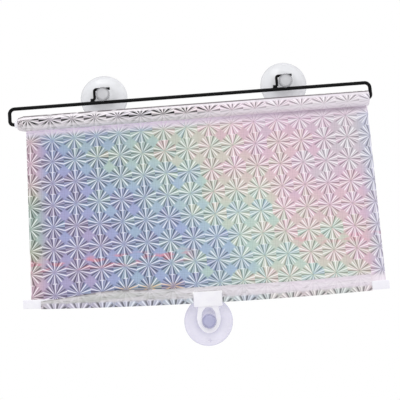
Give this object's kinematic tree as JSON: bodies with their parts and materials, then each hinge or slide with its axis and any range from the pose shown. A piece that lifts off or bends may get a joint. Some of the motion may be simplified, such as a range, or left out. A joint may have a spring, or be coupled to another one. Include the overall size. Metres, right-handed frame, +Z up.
{
  "type": "car window curtain",
  "caption": "Pull-down roller shade of laser film for a car's side window: wire bracket, spring roller, weighted hem strip, pull tab and suction cups.",
  "frame": {"origin": "on the window glass, midway along the wire bracket, level with the necks of the two upper suction cups", "axes": "+X along the roller to the right as seen from inside the car, +Y through the glass to the outside, +Z up"},
  "size_m": [0.4, 0.0234, 0.3059],
  "materials": {
    "black_paint": "glossy black paint on steel wire",
    "clear_vinyl": "soft clear vinyl, milky where it is thick",
    "laser_film": "silvered laser film with a starburst pattern, pastel rainbow sheen",
    "white_plastic": "white moulded plastic, satin",
    "spring_steel": "bare spring steel",
    "tube_metal": "thin drawn tube",
    "spindle_plastic": "natural low-friction plastic",
    "clear_tape": "clear adhesive tape"
  },
  "bodies": {
    "bracket": {"wire_frame": "black_paint", "cup_hook_left": "black_paint", "cup_hook_right": "black_paint", "spring_spindle": "spindle_plastic", "spindle_clip": "spring_steel"},
    "roller": {"roller_tube": "tube_metal", "end_plug_left": "white_plastic", "end_plug_right": "white_plastic", "spring_anchor": "white_plastic", "torsion_spring": "spring_steel", "film_tape": "clear_tape", "film_roll": "laser_film"},
    "curtain": {"film_panel": "laser_film", "bottom_rail": "white_plastic", "film_hem": "laser_film", "pull_tab": "white_plastic"},
    "cup_left": {"suction_cup_left": "clear_vinyl"},
    "cup_right": {"suction_cup_right": "clear_vinyl"},
    "cup_bottom": {"suction_cup_bottom": "clear_vinyl"}
  },
  "joints": [
    {"name": "curtain_pull", "type": "slide", "parent": "bracket", "child": "curtain", "axis": [0, 0, -1], "range_m": [-0.176, 0.4], "deforming": ["film_panel"]},
    {"name": "roller_spin", "type": "hinge", "parent": "bracket", "child": "roller", "pos_m": [0, -0.015, -0.0257], "axis": [1, 0, 0], "range_deg": [-2700, 1190]},
    {"name": "left_cup_swivel", "type": "hinge", "parent": "bracket", "child": "cup_left", "pos_m": [-0.0957, 0, 0], "axis": [0, 1, 0], "continuous": true},
    {"name": "right_cup_swivel", "type": "hinge", "parent": "bracket", "child": "cup_right", "pos_m": [0.1053, 0, 0], "axis": [0, 1, 0], "continuous": true},
    {"name": "bottom_cup_swivel", "type": "hinge", "parent": "curtain", "child": "cup_bottom", "pos_m": [-0.00066, 0, -0.25389], "axis": [0, 1, 0], "continuous": true}
  ],
  "couplings": [
    {"joint": "roller_spin", "follows": "curtain_pull", "rad_per_m": -117.65}
  ]
}
